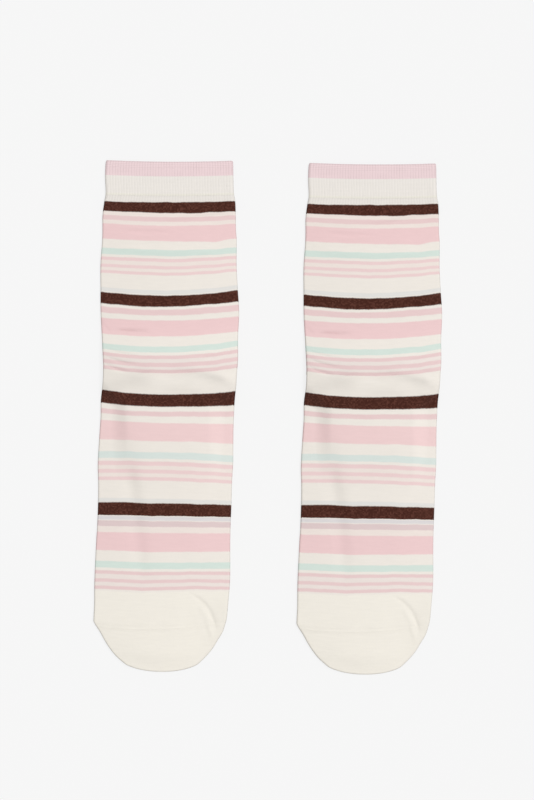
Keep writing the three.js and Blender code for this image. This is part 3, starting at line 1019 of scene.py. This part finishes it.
def makeStripedKnit():
    material, tree, shader, wale, course = startKnit("striped_knit")
    stitch, aside = stitches(tree, wale, course, finish["courseHeight"])
    slant = finish["courseHeight"] / 2
    wander = noiseOn(tree, wale, course, "wobbleGrain")
    wander = doMath(tree, "MULTIPLY", doMath(tree, "SUBTRACT", wander, 0.5), 2 * finish["wobble"])
    toothed = doMath(tree, "MULTIPLY", doMath(tree, "SUBTRACT", aside, 0.5), slant)
    moved = doMath(tree, "ADD", doMath(tree, "ADD", course, wander), toothed)
    colour = stripeRamp(tree, moved, stripeGroups[0])
    for group in stripeGroups[1:]:
        past = doMath(tree, "GREATER_THAN", moved, group["from"])
        colour = mixColours(tree, "MIX", past, colour, stripeRamp(tree, moved, group))
    toeWard = doMath(tree, "GREATER_THAN", moved, finish["toeYarnFrom"])
    colour = mixColours(tree, "MIX", toeWard, colour, yarnColour("toeCream"))
    colour = glintOnDark(tree, colour, wale, doMath(tree, "MULTIPLY_ADD", aside, slant, course))
    # painted shade in the valleys between the ribs that run on into the leg, towards the brown yarn's
    # colour
    ribWale = doMath(tree, "MULTIPLY", wale, cuff["wales"] / tube["wales"])
    lastOfRibs = doMath(tree, "LESS_THAN", course, cuff["ribStop"] + finish["ribsFadePast"])
    valley = doMath(tree, "MULTIPLY", ribValley(tree, ribWale), finish["legValleyShade"])
    valley = doMath(tree, "MULTIPLY", valley, lastOfRibs)
    colour = mixColours(tree, "MIX", valley, colour, yarnColour("brown"))
    finishKnit(tree, shader, colour, wale, course, stitch)
    return material


def makeCreamKnit():
    material, tree, shader, wale, course = startKnit("cream_knit")
    stitch = stitches(tree, wale, course, finish["courseHeight"])[0]
    finishKnit(tree, shader, yarnColour("toeCream"), wale, course, stitch)
    return material


def makeRibKnit():
    material, tree, shader, wale, course = startKnit("rib_knit")
    stitch, aside = stitches(tree, wale, course, finish["ribCourseHeight"])
    toothed = doMath(tree, "MULTIPLY_ADD", aside, finish["ribTooth"], course)
    below = doMath(tree, "GREATER_THAN", toothed, cuff["pinkUntil"])
    colour = mixColours(tree, "MIX", below, yarnColour("cuffPink"), yarnColour("ribCream"))
    atSeam = doMath(tree, "COMPARE", course, cuff["seamCourse"], cuff["seamReach"])
    colour = mixColours(tree, "MIX", atSeam, colour, yarnColour("seamLine"))
    # patchy painted shade in the valleys between the cuff's ribs, towards the brown yarn's colour
    depth = mixNumbers(tree, below, finish["pinkValleyShade"], finish["creamValleyShade"])
    patchy = noiseOn(tree, wale, course, "patchGrain")
    patchy = doMath(tree, "MULTIPLY_ADD", patchy, finish["patchSpread"], finish["patchShift"])
    valley = doMath(tree, "MULTIPLY", ribValley(tree, wale), doMath(tree, "MULTIPLY", depth, patchy))
    colour = mixColours(tree, "MIX", valley, colour, yarnColour("brown"))
    # on the turned edge, course lines take the stitches' place in the bump and in the painted shade
    onTurn = doMath(tree, "LESS_THAN", course, cuff["ribStart"])
    lines = doMath(tree, "SINE", doMath(tree, "MULTIPLY", course, 2 * math.pi / cuff["turnCourse"]))
    lines = doMath(tree, "MULTIPLY_ADD", lines, 0.5, 0.5)
    stitch = mixNumbers(tree, onTurn, stitch, lines)
    finishKnit(tree, shader, colour, wale, course, stitch)
    return material


knits = {"striped_knit": makeStripedKnit(), "cream_knit": makeCreamKnit(), "rib_knit": makeRibKnit()}
print("knit finishes made")

# where the left sock's own place (0, 0) lies, worked out from its nodes
legReach = max(row["left"] for row in outline if row["down"] < sock["ankleLine"])
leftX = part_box("left_leg")[0].x + legReach * mm
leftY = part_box("left_cuff")[1].y + courseBow[0]["left"] * mm
leftPlace = Vector((leftX, leftY, 0))
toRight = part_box("right_leg")[0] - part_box("left_leg")[0]

# each piece's slot and its sheet as cut, in metres, with the area where the cut isn't a rectangle
pieceSheets = {
    "cuff": {"slot": "rib_knit", "flat": (0.171, 0.0226), "area": None},
    "leg": {"slot": "striped_knit", "flat": (0.179, 0.1166), "area": None},
    "heel": {"slot": "cream_knit", "flat": (0.177, 0.031), "area": 0.0036},
    "foot": {"slot": "striped_knit", "flat": (0.178, 0.169), "area": None},
    "toe": {"slot": "cream_knit", "flat": (0.168, 0.0286), "area": 0.0038},
}


def placePiece(piece, by):
    piece.data.transform(Matrix.Translation(by))
    piece.data.update()


def copyOf(piece):
    selectOnly([piece])
    bpy.ops.object.duplicate(linked=False)
    return bpy.context.object


# the left sock's piece brought to its place, and a copy of it in the right sock
def placePair(left, rightName):
    placePiece(left, leftPlace)
    right = copyOf(left)
    nameBoth(right, rightName)
    placePiece(right, toRight)
    return right


def declarePiece(piece, side, part):
    sheet = pieceSheets[part]
    wear(piece, knits[sheet["slot"]])
    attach(piece, "root")
    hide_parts(f"{side}_{part}")


makers = {"cuff": makeCuff, "leg": makeLeg, "heel": makeHeel, "foot": makeFoot, "toe": makeToe}
for part, make in makers.items():
    left = make()
    right = placePair(left, f"right_sock_{part}")
    declarePiece(left, "left", part)
    declarePiece(right, "right", part)
    print(part, "made,", len(left.data.polygons), "faces each")

# the linking of the toe: a row of small stitches along the ridge of the seam
toeLink = {
    "stitches": 88,
    "reach": 0.985,
    "size": (0.5, 0.26, 0.16),
    "sink": 0.07,
    "lean": 24,
    "segments": 8,
    "rings": 6,
    "fibreScale": 1800,
    "roughness": 0.85,
}


def makeLinkStitches():
    count = toeLink["stitches"]
    sides = np.linspace(-toeLink["reach"], toeLink["reach"], count)
    course = np.full(count, sock["toeSeam"])
    down = downOf(course, sides)
    left, right = edgesAt(down)
    half = (right - left) / 2 - sock["sideFold"]
    across = (left + right) / 2 + sides * half
    height = frontRise(across, down, sides) - toeLink["sink"]
    bpy.ops.object.select_all(action="DESELECT")
    segments, rings = toeLink["segments"], toeLink["rings"]
    bpy.ops.mesh.primitive_uv_sphere_add(segments=segments, ring_count=rings, radius=mm, location=(0, 0, 0))
    stitch = bpy.context.object
    turn = Matrix.Rotation(math.radians(toeLink["lean"]), 4, "Z")
    stitch.data.transform(turn @ Matrix.Diagonal((*toeLink["size"], 1)))
    copies = []
    for i in range(count):
        copy = copyOf(stitch)
        placePiece(copy, Vector((across[i], -down[i], height[i])) * mm)
        copies.append(copy)
    bpy.data.objects.remove(stitch, do_unlink=True)
    selectOnly(copies)
    bpy.ops.object.join()
    bpy.ops.object.shade_smooth()
    row = bpy.context.object
    nameBoth(row, "left_toe_linking")
    return row


def makeLinkThread():
    material, tree, shader = newMaterial("linking_thread")
    place = addNode(tree, "ShaderNodeTexCoord")
    fibres = addNode(tree, "ShaderNodeTexNoise")
    tree.links.new(place.outputs["Object"], fibres.inputs["Vector"])
    setInputs(fibres, {"Scale": toeLink["fibreScale"]})
    colour = mixColours(tree, "MIX", fibres.outputs[0], yarnColour("seamLine"), yarnColour("toeCream"))
    tree.links.new(colour, shader.inputs["Base Color"])
    setInputs(shader, {"Roughness": toeLink["roughness"]})
    return material


linkThread = makeLinkThread()
leftLinks = makeLinkStitches()
rightLinks = placePair(leftLinks, "right_toe_linking")
for links in (leftLinks, rightLinks):
    wear(links, linkThread)
    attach(links, "root")
print("toe linking made,", len(leftLinks.data.polygons), "faces each")

# floor, light and camera
studio = {
    "floorSide": 120000,
    "floorBelow": 0.1,
    "floor": {
        "Base Color": (0.11, 0.11, 0.11, 1),
        "Emission Color": (1, 1, 1, 1),
        "Emission Strength": 0.8,
        "Roughness": 1.0,
        "Specular IOR Level": 0.0,
    },
    "sky": {"Color": (1, 1, 1, 1), "Strength": 0.62},
    "sunStrength": 1.86,
    "sunSpread": 24,
    "sunTurn": (-14, 26, 0),
    "lens": 100,
    "photoPixel": 0.66,
    "photoRows": 800,
    "aimAcross": -0.45,
    "aimUp": 11.3,
    "aimHeight": 2.5,
}


def makeFloor():
    bpy.ops.object.select_all(action="DESELECT")
    level = -studio["floorBelow"] * mm
    bpy.ops.mesh.primitive_plane_add(size=studio["floorSide"] * mm, location=(0, 0, level))
    floor = bpy.context.object
    floor.name = "floor"
    material, _, shader = newMaterial("pale_floor")
    setInputs(shader, studio["floor"])
    wear(floor, material)


def makeLights():
    world = bpy.data.worlds.new("studio")
    world.use_nodes = True
    setInputs(world.node_tree.nodes["Background"], studio["sky"])
    bpy.context.scene.world = world
    bpy.ops.object.light_add(type="SUN", location=(-1, 1, 2))
    sun = bpy.context.object
    sun.name = "key_light"
    sun.data.energy = studio["sunStrength"]
    sun.data.angle = math.radians(studio["sunSpread"])
    sun.rotation_euler = [math.radians(turn) for turn in studio["sunTurn"]]


def makeCamera():
    viewHeight = studio["photoPixel"] * studio["photoRows"] * mm
    bpy.ops.object.camera_add(rotation=(0, 0, 0))
    camera = bpy.context.object
    camera.name = "photo_camera"
    camera.data.lens = studio["lens"]
    away = viewHeight / camera.data.sensor_width * camera.data.lens
    camera.location = (studio["aimAcross"] * mm, studio["aimUp"] * mm, away + studio["aimHeight"] * mm)
    bpy.context.scene.camera = camera


makeFloor()
makeLights()
makeCamera()
bpy.context.scene.view_settings.view_transform = "Standard"
print("floor, light and camera set")
